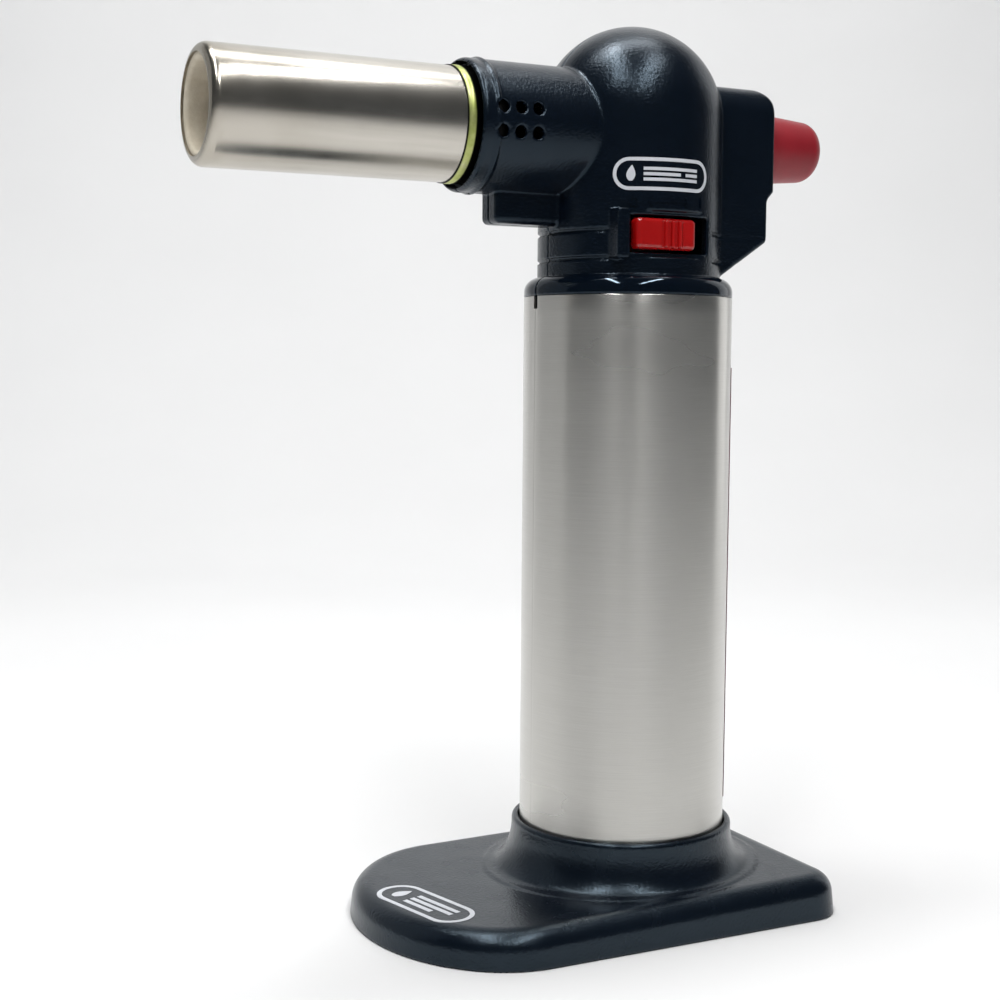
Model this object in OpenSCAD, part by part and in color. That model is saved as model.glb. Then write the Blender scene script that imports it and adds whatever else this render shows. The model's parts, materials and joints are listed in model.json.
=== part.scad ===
// Hand torch with a refillable tank, a pistol-style burner head and a lift-off foot.
// Origin: on the tank axis at the surface the foot stands on. +Z is up, the nozzle points to -Y.

/* [Tank] */
// Outside diameter of the steel tank sleeve
tank_d = 44; // [40:0.5:48]
// Height of the sleeve's top edge above the table
sleeve_top = 129.5; // [110:0.5:150]
// Wall of the steel sleeve
sleeve_wall = 0.5; // [0.4:0.1:0.8]

/* [Head] */
// Outside diameter of the head's round body and dome
head_d = 38.4; // [37:0.1:40]
// Height of the centre of the dome above the sleeve's top edge
dome_rise = 36.9; // [36:0.1:40]
// Height of the barrel axis above the sleeve's top edge
barrel_rise = 33.3; // [33:0.1:34]
// Wall of the two head shells
shell_wall = 2; // [1.6:0.1:2.4]

/* [Barrel] */
// Outside diameter of the burner tube
tube_d = 22.8; // [22.4:0.1:23]
// Distance from the tank axis to the mouth of the burner tube
tube_reach = 93.5; // [85:0.5:110]
// Outside diameter of the housing around the burner tube
housing_d = 26.4; // [26:0.1:27]

/* [Ignition] */
// Diameter of the ignition button at its base
button_d = 14.8; // [14:0.1:15]
// Distance from the tank axis to the button's tip
button_reach = 47.9; // [46:0.1:50]

/* [Foot] */
// Width of the foot at the table
foot_w = 65; // [60:1:72]
// Distance from the tank axis to the toe of the foot
foot_toe = 60; // [56:1:70]
// Distance from the tank axis to the heel of the foot
foot_heel = 37; // [36:1:44]
// Height of the socket's lip
lip_z = 18.2; // [16:0.1:22]

/* [Hidden] */

$fn = 64;
far = 200;

tank_r = tank_d / 2;
tank_bottom = 3.3;
sleeve_bottom = 5.5;
bore_play = 0.3;

// Levels of the head, worked up from the sleeve's top edge
dome_z = sleeve_top + dome_rise;
axis_z = sleeve_top + barrel_rise;
collar_z = sleeve_top + 4.1;
head_r = head_d / 2;
split = 0.05;

// Barrel
housing_r = housing_d / 2;
housing_front = -40.5;
mouth_r = 12.4;
tube_r = tube_d / 2;
tube_back = -43;
tube_wall = 0.45;
lip_round = 1.9;

// Block in front of the collar, under the barrel
block_hw = 3.6;
block_corner = 1;
block_front = -33;
block_bottom = sleeve_top + 14.1;

// Box behind the dome, around the igniter
box_hw = 10;
box_back = 30.2;
box_low_back = 28.6;
box_top = sleeve_top + 45.3;
box_round = 6.5;
box_step_z = sleeve_top + 23;
box_knee_z = sleeve_top + 12.4;
button_r = button_d / 2;
button_travel = 4.5;

// Lock slide's flat and slot on the +X side
flat_x = 18;
slot_y0 = -10.6;
slot_y1 = 8.2;
slot_z0 = sleeve_top + 8.4;
slot_z1 = sleeve_top + 15.8;
slide_len = 14.6;
slide_h = 6.2;
slide_y0 = -10.1;
slide_zc = (slot_z0 + slot_z1) / 2;

// Two grooves round the collar
GROOVES = [sleeve_top + 12.9, sleeve_top + 7.3];
groove_h = 1;
groove_deep = 0.6;

// Valve train on the tank axis
neck_z = sleeve_top + 2.4;
valve_hex_z = neck_z + 0.6;
dial_z = valve_hex_z + 2.4;
barb_z = dial_z + 4;
valve_top = dial_z + 6.5;
pivot_y = -5.5;
pivot_z = valve_top + 2.2;
pin_r = 1.25;
stem_r = 1.5;

// Gas line and burner, on the barrel axis
hose_r = 1.5;
hose_bore_r = 0.9;
hose_y = -13;
hose_bend = 4;
jet_y = hose_y - hose_bend;
mixer_r = 4;
lead_z = axis_z + 6.5;

// Screws: [y, z, x of the head's seat, x where the thread ends]
SCREWS = [[-29.5, block_bottom + 3.7, -1.8, 2.4], [22, box_knee_z + 4, -8, 6],
    [16.5, axis_z + 7.7, -8, 6], [-8, dome_z + 11.4, -10.2, 6]];
boss_r = 2.7;
screw_head_r = 2.2;
screw_r = 1.1;

// ---- shared shapes ----

// Cylinder along +Y from y0 to y1 round the barrel axis
module along_y(r, y0, y1, z = axis_z, x = 0)
    translate([x, y0, z]) rotate([-90, 0, 0]) cylinder(r = r, h = y1 - y0);

// Cylinder along +X from x0 to x1
module along_x(r, x0, x1, y, z)
    translate([x0, y, z]) rotate([0, 90, 0]) cylinder(r = r, h = x1 - x0);

module tube_y(r_out, r_in, y0, y1, z = axis_z, x = 0)
    difference() {
        along_y(r_out, y0, y1, z, x);
        along_y(r_in, y0 - 1, y1 + 1, z, x);
    }

module tube_z(r_out, r_in, z0, z1)
    difference() {
        translate([0, 0, z0]) cylinder(r = r_out, h = z1 - z0);
        translate([0, 0, z0 - 1]) cylinder(r = r_in, h = z1 - z0 + 2);
    }

module ring(r_mid, r_wire, z)
    translate([0, 0, z]) rotate_extrude() translate([r_mid, 0]) circle(r = r_wire, $fn = 32);

// Box from low corner to high corner
module block(a, b) translate(a) cube(b - a);

// Compression spring along +Z: one swept tube of square-ish section
function coil_point(r, pitch, t) = [r * cos(t), r * sin(t), pitch * t / 360];
module coil(r, wire, height, turns) {
    sides = 6;
    steps = turns * 14;
    pitch = (height - 2 * wire) / turns;
    points = [for (i = [0:steps]) let (t = 360 * turns * i / steps, c = coil_point(r, pitch, t))
        for (k = [0:sides - 1]) let (a = 360 * k / sides)
            [c[0] + wire * cos(a) * cos(t), c[1] + wire * cos(a) * sin(t), c[2] + wire + wire * sin(a)]];
    walls = [for (i = [0:steps - 1]) for (k = [0:sides - 1])
        [i * sides + k, i * sides + (k + 1) % sides, (i + 1) * sides + (k + 1) % sides,
            (i + 1) * sides + k]];
    first = [for (k = [sides - 1:-1:0]) k];
    last = [for (k = [0:sides - 1]) steps * sides + k];
    polyhedron(points, concat([first, last], walls), convexity = 8);
}

// ---- foot ----

// Outline of the plate: an elliptical toe and a heel with rounded corners, pulled in by `inset`
toe_len = 26;
heel_round = 8;
side_y = [for (y = [-28:7:21]) y];
function foot_outline(inset) =
    let (w = foot_w / 2 - inset, y_toe = toe_len - foot_toe, back = foot_heel - inset,
        r = max(heel_round - inset, 1))
    concat(
        [for (a = [180:7.5:360]) [w * cos(a), y_toe + (toe_len - inset) * sin(a)]],
        [for (y = side_y) [w, y]],
        [for (a = [0:18:90]) [w - r + r * cos(a), back - r + r * sin(a)]],
        [for (x = [18:-9:-18]) [x, back]],
        [for (a = [90:18:180]) [r - w + r * cos(a), back - r + r * sin(a)]],
        [for (i = [len(side_y) - 1:-1:0]) [-w, side_y[i]]]);

plate_top = 8.2;
plate_slope = 0.018;
socket_floor = 3;
socket_r = tank_r + bore_play;
lip_r = socket_r + 1.4;
lip_round_r = 1;
neck_top = lip_z - 1.5;
flare_half_w = foot_w / 2 - 4.9;
flare_half_l = 30;
function plate_z(y) = plate_top + plate_slope * y;
// Radius of the flare's foot in the direction of a point
function flare_foot_r(q) = let (u = q / norm(q))
    1 / sqrt(pow(u[0] / flare_half_w, 2) + pow(u[1] / flare_half_l, 2));
// Ring of the plate's rounded edge: [inset, height below the sloping top]
EDGE = [[0.5, -3.4], [0.9, -2.2], [1.7, -1.1], [2.9, -0.35], [4.4, 0]];
function edge_ring(e) = [for (q = foot_outline(e[0])) [q[0], q[1], plate_z(q[1]) + e[1]]];
// Ring of the concave flare, at angle a of its arc
function flare_ring(a) = [for (q = foot_outline(0))
    let (u = q / norm(q), foot = flare_foot_r(q), r = foot + (foot - lip_r) * cos(a),
        low = plate_z(foot * u[1]))
    [r * u[0], r * u[1], neck_top + (neck_top - low) * sin(a)]];
function lip_ring(a) = [for (q = foot_outline(0))
    let (u = q / norm(q), r = lip_r - lip_round_r + lip_round_r * cos(a))
    [r * u[0], r * u[1], lip_z - lip_round_r + lip_round_r * sin(a)]];

// Plate, flare and socket wall as one smooth skin, before the socket is bored
module foot_skin() {
    rings = concat([[for (q = foot_outline(0)) [q[0], q[1], 0]]], [for (e = EDGE) edge_ring(e)],
        [for (a = [268:-13:190]) flare_ring(a)], [for (a = [0:30:90]) lip_ring(a)]);
    n = len(rings[0]);
    last = len(rings) - 1;
    // The bottom and the top are fans round a middle point
    points = concat([for (r = rings) each r], [[0, 0, 0], [0, 0, lip_z]]);
    walls = [for (i = [0:last - 1]) for (k = [0:n - 1]) each [
        [i * n + k, (i + 1) * n + k, (i + 1) * n + (k + 1) % n],
        [i * n + k, (i + 1) * n + (k + 1) % n, i * n + (k + 1) % n]]];
    ends = [for (k = [0:n - 1]) each [
        [k, (k + 1) % n, (last + 1) * n],
        [last * n + (k + 1) % n, last * n + k, (last + 1) * n + 1]]];
    polyhedron(points, concat(walls, ends), convexity = 6);
}

FEET = [[22, -36], [-22, -36], [23, 27.5], [-23, 27.5]];
foot_pad_r = 4.2;
pad_h = 2.2;

module base_shell() color([0.13, 0.14, 0.16])
    difference() {
        foot_skin();
        translate([0, 0, socket_floor]) cylinder(r = socket_r, h = far);
        // Hollow underside, with two crossed ribs and a boss for each pad
        difference() {
            translate([0, 0, -1]) linear_extrude(1 + plate_top - 4) polygon(foot_outline(3));
            translate([0, 0, -2]) cylinder(r = socket_r + 2, h = far);
            for (f = FEET) translate([f[0], f[1], -2]) cylinder(r = foot_pad_r + 1.6, h = far);
            block([-0.8, -far, -2], [0.8, far, far]);
            block([-far, -0.8, -2], [far, 0.8, far]);
        }
        for (f = FEET) translate([f[0], f[1], -1]) cylinder(r = foot_pad_r, h = 1 + pad_h);
    }

module base_feet() color([0.2, 0.2, 0.2])
    for (f = FEET) translate([f[0], f[1], 0]) cylinder(r = foot_pad_r - 0.05, h = pad_h);

// ---- tank ----

module tank_sleeve() color([0.75, 0.75, 0.73])
    difference() {
        tube_z(tank_r, tank_r - sleeve_wall, sleeve_bottom, sleeve_top);
        block([-0.75, -tank_r - 1, sleeve_top - 2.6], [0.75, -tank_r + 2, sleeve_top + 1]);
    }

label_arc = 72;
label_z0 = 23;
label_z1 = 115;
module tank_label() color([0.45, 0.05, 0.08])
    translate([0, 0, label_z0]) rotate([0, 0, 90 - label_arc / 2])
        rotate_extrude(angle = label_arc, $fn = 96)
            translate([tank_r + 0.02, 0]) square([0.13, label_z1 - label_z0]);

tank_wall_r = tank_r - sleeve_wall - 0.2;
tank_underside = 8.2;
tank_floor = 10.6;
disc_z = sleeve_top - 5.5;
gasket_wire = 0.82;
gasket_r = tank_wall_r - 2.66;
gasket_z = disc_z - 3;
module fuel_tank() color([0.9, 0.88, 0.8])
    difference() {
        translate([0, 0, tank_underside]) cylinder(r = tank_wall_r, h = disc_z - tank_underside);
        translate([0, 0, tank_floor]) cylinder(r = tank_wall_r - 1.8, h = far);
        translate([0, 0, tank_underside - 1]) cylinder(r = fill_r + 0.05, h = 10);
    }

module tank_cap() color([0.15, 0.15, 0.15]) {
    difference() {
        union() {
            translate([0, 0, disc_z]) cylinder(r = tank_wall_r, h = 5.3);
            translate([0, 0, disc_z - 5]) cylinder(r = tank_wall_r - 1.9, h = 5.2);
            translate([0, 0, disc_z]) cylinder(r = 9, h = neck_z - disc_z);
            translate([0, 0, neck_z - 0.8]) cylinder(r = 11, h = 0.8);
        }
        translate([0, 0, disc_z - 6]) cylinder(r = 5.02, h = far);
        difference() {
            translate([0, 0, disc_z - 6]) cylinder(r = tank_wall_r - 4, h = 4);
            translate([0, 0, disc_z - 7]) cylinder(r = 7, h = 6);
        }
        translate([0, 0, gasket_z]) rotate_extrude()
            translate([gasket_r - gasket_wire - 0.02, -0.9]) square([3, 1.8]);
    }
}

module tank_gasket() color([0.1, 0.1, 0.1])
    ring(gasket_r, gasket_wire, gasket_z);

module tank_foot() color([0.12, 0.12, 0.13])
    difference() {
        union() {
            translate([0, 0, tank_bottom]) cylinder(r = tank_r, h = sleeve_bottom - 0.1 - tank_bottom);
            translate([0, 0, sleeve_bottom - 1]) cylinder(r = tank_r - sleeve_wall - 0.1, h = 3.6);
        }
        translate([0, 0, tank_bottom - 1]) cylinder(r = 9, h = 2.6);
        translate([0, 0, tank_bottom]) cylinder(r = fill_r + 0.05, h = far);
    }

// ---- fill valve, in the underside of the tank ----

fill_bottom = 5.2;
fill_top = 18;
fill_r = 4;
fill_flange_r = 5.6;
fill_flange_z = 11.6;
fill_room_z = 8.4;
fill_room_h = 8;
fill_collar_h = 1;
module fill_valve_body() color([0.8, 0.65, 0.3])
    difference() {
        union() {
            translate([0, 0, fill_bottom]) cylinder(r = fill_r, h = fill_top - fill_bottom);
            translate([0, 0, fill_flange_z]) cylinder(r = fill_flange_r, h = 1.6);
        }
        translate([0, 0, fill_bottom - 1]) cylinder(r = stem_r + 0.05, h = far);
        translate([0, 0, fill_room_z]) cylinder(r = 2.7, h = fill_room_h);
    }

module fill_valve_stem() color([0.85, 0.7, 0.35]) {
    tube_z(stem_r, 0.5, fill_bottom - 0.3, fill_room_z + 2.6);
    tube_z(2.5, 0.5, fill_room_z + 0.2, fill_room_z + 0.2 + fill_collar_h);
}

module fill_valve_spring() color([0.6, 0.6, 0.62])
    translate([0, 0, fill_room_z + 0.3 + fill_collar_h])
        coil(2, 0.25, fill_room_h - fill_collar_h - 0.4, 5);

module fill_valve_seal() color([0.1, 0.1, 0.1])
    tube_z(fill_flange_r, fill_r + 0.06, tank_floor + 0.02, fill_flange_z - 0.03);

// ---- main valve, in the tank's neck ----

valve_bottom = 117;
seat_z = 120;
module dip_tube() color([0.92, 0.92, 0.88])
    tube_z(1.4, 0.8, 22, valve_bottom - 0.1);

module valve_body() color([0.8, 0.65, 0.3])
    difference() {
        union() {
            translate([0, 0, valve_bottom]) cylinder(r = 5, h = valve_hex_z - valve_bottom + 0.1);
            translate([0, 0, valve_hex_z]) cylinder(r = 6.9, h = 1.8, $fn = 6);
            translate([0, 0, valve_hex_z]) cylinder(r = 4, h = barb_z + 1.8 - valve_hex_z);
            translate([0, 0, barb_z]) cylinder(r = 3.2, h = valve_top - barb_z);
            along_y(0.85, hose_y + hose_bend + 1, -2.6, barb_z);
        }
        translate([0, 0, valve_bottom - 1]) cylinder(r = 0.9, h = 10);
        translate([0, 0, seat_z]) cylinder(r = 2.9, h = 14);
        translate([0, 0, seat_z]) cylinder(r = stem_r + 0.05, h = far);
        along_y(0.4, hose_y, 0, barb_z);
    }

module valve_gasket() color([0.1, 0.1, 0.1])
    tube_z(7.4, 5.06, neck_z + 0.02, valve_hex_z - 0.02);

module valve_stem() color([0.85, 0.7, 0.35]) {
    translate([0, 0, seat_z + 0.1]) cylinder(r = stem_r, h = pivot_z + 4.3 - seat_z - 0.1);
    translate([0, 0, seat_z + 0.1]) cylinder(r = 2.6, h = 1.6);
    translate([0, 0, pivot_z + 3.3]) cylinder(r = 2.6, h = 1);
}

module valve_spring() color([0.6, 0.6, 0.62])
    translate([0, 0, seat_z + 1.8]) coil(2.25, 0.28, 12, 7);

module flame_dial() color([0.12, 0.12, 0.12])
    difference() {
        union() {
            translate([0, 0, dial_z]) cylinder(r = 9, h = 2);
            block([-tank_r - 1.2, -1.6, dial_z], [-6, 1.6, dial_z + 2]);
            block([-tank_r - 2, -2.2, dial_z - 0.6], [-tank_r + 1, 2.2, dial_z + 2.6]);
        }
        translate([0, 0, dial_z - 1]) cylinder(r = 4.05, h = 4);
        for (a = [0:30:330])
            rotate([0, 0, a + 15]) translate([9.4, 0, dial_z - 1]) cylinder(r = 1, h = 4);
    }

// Bell crank: the fork lifts the stem when the button pushes the upright arm
arm_top = pivot_z + 14;
module rocker() color([0.9, 0.9, 0.88])
    difference() {
        union() {
            along_x(2.5, -4.2, 4.2, pivot_y, pivot_z);
            for (s = [-1, 1])
                translate([s * 3.1 - 1.1, pivot_y, pivot_z + 1]) cube([2.2, 7, 1.6]);
            block([-2.2, pivot_y - 1.6, pivot_z + 1], [2.2, pivot_y + 0.4, arm_top]);
            block([-2.2, pivot_y, arm_top - 3.5], [2.2, 0, arm_top]);
            along_x(1.6, -2.2, 2.2, 0, arm_top - 1.75);
        }
        along_x(pin_r + 0.05, -5, 5, pivot_y, pivot_z);
    }

module rocker_pin() color([0.7, 0.7, 0.72])
    along_x(pin_r, -8.8, 8.8, pivot_y, pivot_z);

// ---- gas line and burner ----

module quarter_bend(r_bend, r_out, r_in)
    rotate_extrude(angle = 90) translate([r_bend, 0]) difference() {
        circle(r = r_out, $fn = 32);
        circle(r = r_in, $fn = 32);
    }

module gas_hose() color([0.25, 0.25, 0.25]) {
    up_z0 = barb_z + hose_bend;
    up_z1 = axis_z - hose_bend;
    tube_y(hose_r, hose_bore_r, hose_y + hose_bend, -4.3, barb_z);
    translate([0, hose_y + hose_bend, up_z0]) rotate([0, -90, 0]) rotate([0, 0, 180])
        quarter_bend(hose_bend, hose_r, hose_bore_r);
    translate([0, hose_y, up_z0]) tube_z(hose_r, hose_bore_r, 0, up_z1 - up_z0);
    translate([0, hose_y - hose_bend, up_z1]) rotate([0, -90, 0])
        quarter_bend(hose_bend, hose_r, hose_bore_r);
    tube_y(hose_r, hose_bore_r, jet_y - 3, jet_y);
}

module jet_nozzle() color([0.8, 0.65, 0.3])
    difference() {
        union() {
            along_y(0.85, jet_y - 4, jet_y - 0.5);
            along_y(2.5, jet_y - 12, jet_y - 3.2);
            translate([0, jet_y - 5, axis_z]) rotate([90, 0, 0]) cylinder(r = 3.4, h = 2.4, $fn = 6);
        }
        along_y(0.4, jet_y - 11, 0);
        along_y(0.15, -far, 0);
    }

adapter_front = -50;
holder_back = -66;
module mixer_tube() color([0.78, 0.62, 0.3])
    difference() {
        along_y(mixer_r, holder_back - 3, jet_y - 8.2);
        along_y(3, -far, jet_y - 10);
        along_y(2.55, -far, 0);
        for (a = [0:90:270]) translate([0, jet_y - 14, axis_z]) rotate([0, a + 45, 0])
            cylinder(r = 1.2, h = 10);
    }

module burner_adapter() color([0.8, 0.78, 0.4])
    difference() {
        union() {
            along_y(tube_r - tube_wall - 0.03, adapter_front, tube_back + 0.02);
            along_y(tube_r + 0.2, tube_back + 0.02, -39.7);
            along_y(11.4, -39.8, -37);
            along_y(12.1, -37.3, -34.6);
        }
        along_y(mixer_r + 0.02, -far, 0);
        along_y(1.35, -far, 0, lead_z);
        for (a = [30:60:330]) if (a != 90)
            along_y(1.6, -far, 0, axis_z + 7.3 * sin(a), 7.3 * cos(a));
    }

// Steel tube whose front edge is rolled inwards
module burner_tube() color([0.72, 0.7, 0.66]) {
    opening_r = 9.5;
    length = tube_reach + tube_back;
    outline = concat([[tube_r - tube_wall, 0], [tube_r, 0], [tube_r, length - lip_round]],
        [for (a = [15:15:90]) [tube_r - lip_round + lip_round * cos(a),
            length - lip_round + lip_round * sin(a)]],
        [[opening_r, length - tube_wall]],
        [for (a = [90:-15:0]) let (r = lip_round - tube_wall)
            [tube_r - lip_round + r * cos(a), length - lip_round + r * sin(a)]]);
    translate([0, tube_back, axis_z]) rotate([90, 0, 0]) rotate_extrude($fn = 96) polygon(outline);
}

liner_back = -70;
module ceramic_liner() color([0.93, 0.9, 0.84]) {
    r = tube_r - tube_wall - 0.05;
    bore = 8.4;
    length = tube_reach - tube_wall - 0.05 + liner_back;
    outline = [[bore, 0], [r, 0], [r, length - 1.6], [9.45, length], [9.3, length],
        [bore, length - 1.2]];
    translate([0, liner_back, axis_z]) rotate([90, 0, 0]) rotate_extrude($fn = 96) polygon(outline);
}

module flame_holder() color([0.75, 0.6, 0.35])
    difference() {
        along_y(tube_r - tube_wall - 0.05, holder_back - 3.9, holder_back);
        along_y(mixer_r + 0.02, holder_back - 3, 0);
        along_y(2.2, -far, 0);
        along_y(1.35, -far, 0, lead_z);
        for (a = [0:30:330]) if (a != 90)
            along_y(0.9, -far, 0, axis_z + 7 * sin(a), 7 * cos(a));
    }

electrode_tip = -75;
module electrode() color([0.6, 0.6, 0.6]) {
    along_y(0.45, electrode_tip, -35, lead_z);
    translate([0, electrode_tip, axis_z + 3.4]) cylinder(r = 0.45, h = 6.9 - 3.4);
}

module electrode_insulator() color([0.95, 0.94, 0.9])
    tube_y(1.3, 0.5, -71.5, -33, lead_z);

// Insulated lead from the igniter's front end to the electrode
module ignition_lead() color([0.5, 0.1, 0.1]) {
    bend = 3;
    y0 = 1.6;
    tube_y(0.9, 0.3, y0, 3, axis_z);
    translate([0, y0, axis_z + bend]) rotate([0, -90, 0]) rotate([0, 0, 180])
        quarter_bend(bend, 0.9, 0.3);
    translate([0, y0 - bend, axis_z]) tube_z(0.9, 0.3, bend, lead_z - axis_z - bend);
    translate([0, y0 - 2 * bend, lead_z - bend]) rotate([0, -90, 0])
        quarter_bend(bend, 0.9, 0.3);
    tube_y(0.9, 0.3, -32.9, y0 - 2 * bend, lead_z);
}

// ---- ignition ----

piezo_r = 4.8;
piezo_back = 30;
module piezo_body() color([0.1, 0.1, 0.1])
    difference() {
        intersection() {
            along_y(piezo_r, 3.1, piezo_back);
            block([-4.2, 0, axis_z - 10], [4.2, far, axis_z + 10]);
        }
        along_y(3.5, 17, far);
    }

module piezo_plunger() color([0.92, 0.92, 0.9])
    along_y(3.2, 22, button_reach - 3.5);

module piezo_spring() color([0.6, 0.6, 0.62])
    translate([0, piezo_back + 0.1, axis_z]) rotate([-90, 0, 0])
        coil(3.9, 0.3, button_reach - 3.6 - piezo_back - 0.1, 6);

flange_y = 24.6;
module ignition_button() color([0.62, 0.1, 0.15]) {
    tip_r = button_r - 0.9;
    round_r = 3.4;
    length = button_reach - flange_y;
    // Domed cap with a slight taper
    skin = concat([[0, 0], [button_r, 0], [button_r, 13]],
        [for (a = [0:15:75]) [tip_r - round_r + round_r * cos(a),
            length - 1 - round_r + round_r * sin(a)]], [[tip_r - round_r, length - 0.9], [0, length]]);
    difference() {
        union() {
            translate([0, flange_y, axis_z]) rotate([-90, 0, 0]) rotate_extrude($fn = 96) polygon(skin);
            // Tabs that keep the button in the head, above and below
            intersection() {
                along_y(button_r + 1.3, flange_y, flange_y + 1.6);
                block([-5, 0, 0], [5, far, far]);
            }
            // Leg that pushes the bell crank
            block([-2, 2.2, arm_top - 3], [2, flange_y + 1, arm_top]);
        }
        along_y(5.5, flange_y - 1, button_reach - 3.5);
    }
}

module lock_slide() color([0.75, 0.05, 0.05]) {
    z0 = slide_zc - slide_h / 2;
    z1 = slide_zc + slide_h / 2;
    top_x = head_r;
    block([15.7, slide_y0, z0], [top_x, slide_y0 + slide_len, z1]);
    for (i = [0:2])
        block([top_x - 0.1, slide_y0 + 7.2 + 1.6 * i, z0 + 0.4],
            [top_x + 0.4, slide_y0 + 7.9 + 1.6 * i, z1 - 0.4]);
    block([14, slide_y0 + 4, z0 + 1.2], [15.8, slide_y0 + slide_len - 4, z1 - 1.2]);
}

module lock_plate() color([0.7, 0.7, 0.72]) {
    z0 = slide_zc - slide_h / 2;
    z1 = slide_zc + slide_h / 2;
    difference() {
        block([13.3, slide_y0 + 3, z0 - 0.5], [14, slide_y0 + slide_len - 3, z1 + 0.5]);
        along_x(1, 10, 16, slide_y0 + slide_len / 2, slide_zc);
    }
    along_x(0.95, 13, 14, slide_y0 + slide_len / 2, slide_zc);
}

// ---- head shells ----

// Side profile of the igniter box: slanted underside, a small step at the back, one round corner
box_foot_y = 16.6;
box_foot_z = collar_z + 0.3;
box_step = 1.8;
box_corner_r = 4.2;
module box_outline(grow) {
    y = box_back + grow;
    y_low = box_low_back + grow;
    top = box_top + grow;
    r = box_corner_r + grow;
    polygon(concat([[0, collar_z], [box_foot_y + grow, box_foot_z - grow],
        [y_low, box_knee_z - grow * 0.6], [y_low, box_step_z - box_step - grow], [y, box_step_z - grow]],
        [for (a = [0:15:90]) [y - r + r * cos(a), top - r + r * sin(a)]], [[0, top]]));
}

// Igniter box: side profile pushed out to its width, with round top edges
module igniter_box(grow) {
    hw = box_hw + grow;
    top = box_top + grow;
    intersection() {
        translate([-hw, 0, 0]) rotate([90, 0, 90]) linear_extrude(2 * hw) box_outline(grow);
        translate([0, 60, 0]) rotate([90, 0, 0]) linear_extrude(60) union() {
            translate([-hw, 0]) square([2 * hw, top - box_round]);
            translate([-hw + box_round, 0]) square([2 * (hw - box_round), top]);
            for (s = [-1, 1]) translate([s * (hw - box_round), top - box_round]) circle(r = box_round);
        }
    }
}

// Narrow block under the barrel, with round front corners
module front_block(grow) {
    hw = block_hw + grow;
    translate([0, 0, block_bottom - grow]) linear_extrude(axis_z - block_bottom) {
        translate([-hw, block_front + block_corner - grow]) square([2 * hw, -6 - block_front - block_corner + grow]);
        translate([-hw + block_corner, block_front - grow]) square([2 * (hw - block_corner), 10]);
        for (s = [-1, 1]) translate([s * (hw - block_corner), block_front + block_corner - grow])
            circle(r = block_corner, $fn = 32);
    }
}

module head_solid(grow, bottom, front, mouth) {
    r = head_r + grow;
    translate([0, 0, bottom]) cylinder(r = r, h = dome_z - bottom);
    translate([0, 0, dome_z]) sphere(r = r, $fn = 96);
    along_y(mouth, front, 0);
    front_block(grow);
    igniter_box(grow);
}

ring_round = 3;
ring_h = 4.1;
lever_swing = 38;
module head_skin() {
    difference() {
        union() {
            head_solid(0, collar_z - 0.1, housing_front, housing_r);
            // Glossy shoulder ring that sits on the sleeve
            rotate_extrude($fn = 96) union() {
                translate([0, sleeve_top]) square([tank_r, ring_h - ring_round]);
                translate([0, sleeve_top]) square([tank_r - ring_round, ring_h]);
                translate([tank_r - ring_round, sleeve_top + ring_h - ring_round])
                    circle(r = ring_round);
            }
            // Raised flat that carries the lock slide
            block([10, slot_y0 - 0.9, slot_z0 - 1.2], [flat_x, slot_y1 + 1, slot_z1 + 1.2]);
        }
        // Everything below the shoulder ring
        translate([0, 0, sleeve_top - far]) cylinder(r = far, h = far);
        // Recess of the flat and the slot through it
        block([flat_x, slot_y0 - 0.9, slot_z0 - 0.9], [far, slot_y1 + 1, slot_z1 + 0.9]);
        block([14, slot_y0, slot_z0], [far, slot_y1, slot_z1]);
        for (z = GROOVES) difference() {
            translate([0, 0, z - groove_h / 2]) cylinder(r = far, h = groove_h);
            translate([0, 0, z - 1]) cylinder(r = head_r - groove_deep, h = 2);
            block([10, slot_y0 - 0.9, z - 2], [far, slot_y1 + 1, z + 2]);
            igniter_box(0);
        }
        // Air holes in the barrel housing
        for (y = [-36, -32.2, -28.4]) for (s = [-1, 1])
            along_x(1.1, -far, far, y, axis_z + s * 2.35);
    }
}

module head_core() {
    difference() {
        union() {
            head_solid(-shell_wall, sleeve_top + 1.5, housing_front - 1, 12.2);
            along_y(mouth_r, housing_front - 1, housing_front + 2.4);
            along_y(button_r + 0.2, 20, 60);
            translate([0, 0, sleeve_top - 1]) cylinder(r = 9.1, h = 6);
        }
        // Ribs that trap the burner adapter
        for (y = [[-38.1, -37.4], [-34.4, -33]]) tube_y(13, y[0] < -36 ? 11.5 : 10.2, y[0], y[1]);
        // Cradles of the mixer tube and the igniter
        difference() {
            tube_y(13, mixer_r + 0.03, -27.4, -26.2);
            along_y(1.1, -30, 0, lead_z);
        }
        for (y = [6, 14]) difference() {
            block([-17, y, axis_z - 5], [17, y + 1.6, axis_z + 4.6]);
            along_y(piezo_r + 0.03, y - 1, y + 3);
            block([-2.4, y - 1, 0], [2.4, y + 3, axis_z - 2]);
        }
        // Webs that hold the rocker's pin
        for (s = [-1, 1]) difference() {
            translate([s * 8 - 1, pivot_y - 3, pivot_z - 3]) cube([2, 6, far]);
            along_x(pin_r + 0.02, -far, far, pivot_y, pivot_z);
        }
        // Screw bosses
        for (q = SCREWS) along_x(boss_r, -far, far, q[0], q[1]);
    }
}

module screw_bores()
    for (q = SCREWS) {
        along_x(screw_r + 0.02, q[2], q[3] + 0.5, q[0], q[1]);
        along_x(screw_head_r + 0.2, -far, q[2], q[0], q[1]);
    }

module head_half(side) {
    intersection() {
        difference() {
            head_skin();
            head_core();
            screw_bores();
            // Slot for the flame lever, on the far side
            translate([0, 0, dial_z - 0.9]) rotate([0, 0, 180 - lever_swing])
                rotate_extrude(angle = 2 * lever_swing) translate([10, 0]) square([30, 3.8]);
        }
        translate([side > 0 ? split : -far, -far, 0]) cube([far - split, 2 * far, 2 * far]);
    }
}

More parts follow.
